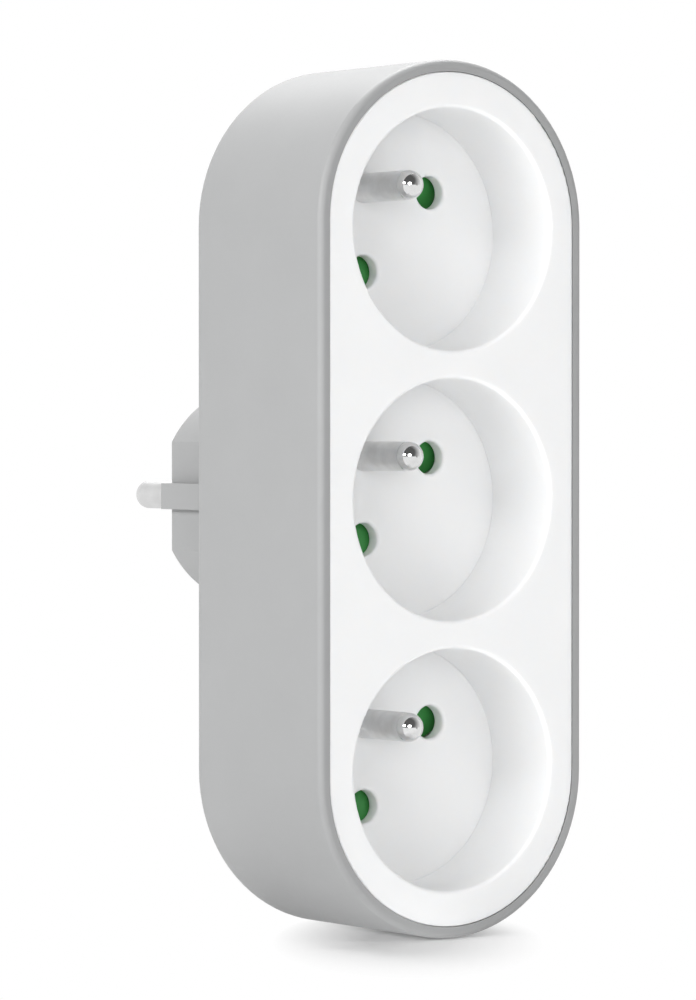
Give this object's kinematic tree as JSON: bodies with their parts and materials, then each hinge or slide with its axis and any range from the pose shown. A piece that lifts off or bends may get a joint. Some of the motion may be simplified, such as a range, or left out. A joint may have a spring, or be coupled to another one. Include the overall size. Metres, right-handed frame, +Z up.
{
  "type": "multi socket adapter",
  "caption": "Plug-in adapter with a rounded oblong body, round recessed sockets in a row, each with an earth pin and shuttered pin holes, and an earthed plug at the back.",
  "frame": {"origin": "centre of the plug's flat mating face, which meets the bottom of the wall socket's recess", "axes": "+Y out of the plug's face, into the wall socket; +Z up along the row of sockets; +X to the right for someone facing the sockets, which look along -Y"},
  "size_m": [0.053, 0.0785, 0.143],
  "materials": {
    "housing_grey": "fine satin texture",
    "cover_white": "satin white",
    "pin_nickel": "nickel plated, turned",
    "strap_nickel": "nickel plated strip",
    "shutter_green": "moulded green",
    "contact_brass": "stamped brass",
    "carrier_white": "natural moulded",
    "spring_steel": "drawn wire",
    "screw_steel": "zinc plated"
  },
  "bodies": {
    "adapter": {"rear_housing": "housing_grey", "front_cover": "cover_white", "live_busbar": "contact_brass", "neutral_busbar": "contact_brass", "earth_busbar": "contact_brass", "contact_carrier": "carrier_white", "plug_pin_live": "pin_nickel", "plug_pin_neutral": "pin_nickel", "plug_earth_strap": "strap_nickel", "plug_earth_sleeve": "contact_brass", "earth_pin_top": "pin_nickel", "shutter_spring_top": "spring_steel", "shutter_retainer_top": "carrier_white", "earth_pin_middle": "pin_nickel", "shutter_spring_middle": "spring_steel", "shutter_retainer_middle": "carrier_white", "earth_pin_bottom": "pin_nickel", "shutter_spring_bottom": "spring_steel", "shutter_retainer_bottom": "carrier_white", "screw_upper_left": "screw_steel", "screw_upper_right": "screw_steel", "screw_lower_left": "screw_steel", "screw_lower_right": "screw_steel"},
    "shutter_top": {"shutter_top": "shutter_green"},
    "shutter_middle": {"shutter_middle": "shutter_green"},
    "shutter_bottom": {"shutter_bottom": "shutter_green"}
  },
  "joints": [
    {"name": "shutter_top_turn", "type": "hinge", "parent": "adapter", "child": "shutter_top", "pos_m": [0, -0.03935, 0.044], "axis": [0, -1, 0], "range_deg": [0, 40], "stiffness_Nm_per_rad": 0.001, "springref_deg": -20.05, "deforming": ["shutter_spring_top"]},
    {"name": "shutter_middle_turn", "type": "hinge", "parent": "adapter", "child": "shutter_middle", "pos_m": [0, -0.03935, 0], "axis": [0, -1, 0], "range_deg": [0, 40], "stiffness_Nm_per_rad": 0.001, "springref_deg": -20.05, "deforming": ["shutter_spring_middle"]},
    {"name": "shutter_bottom_turn", "type": "hinge", "parent": "adapter", "child": "shutter_bottom", "pos_m": [0, -0.03935, -0.044], "axis": [0, -1, 0], "range_deg": [0, 40], "stiffness_Nm_per_rad": 0.001, "springref_deg": -20.05, "deforming": ["shutter_spring_bottom"]}
  ]
}
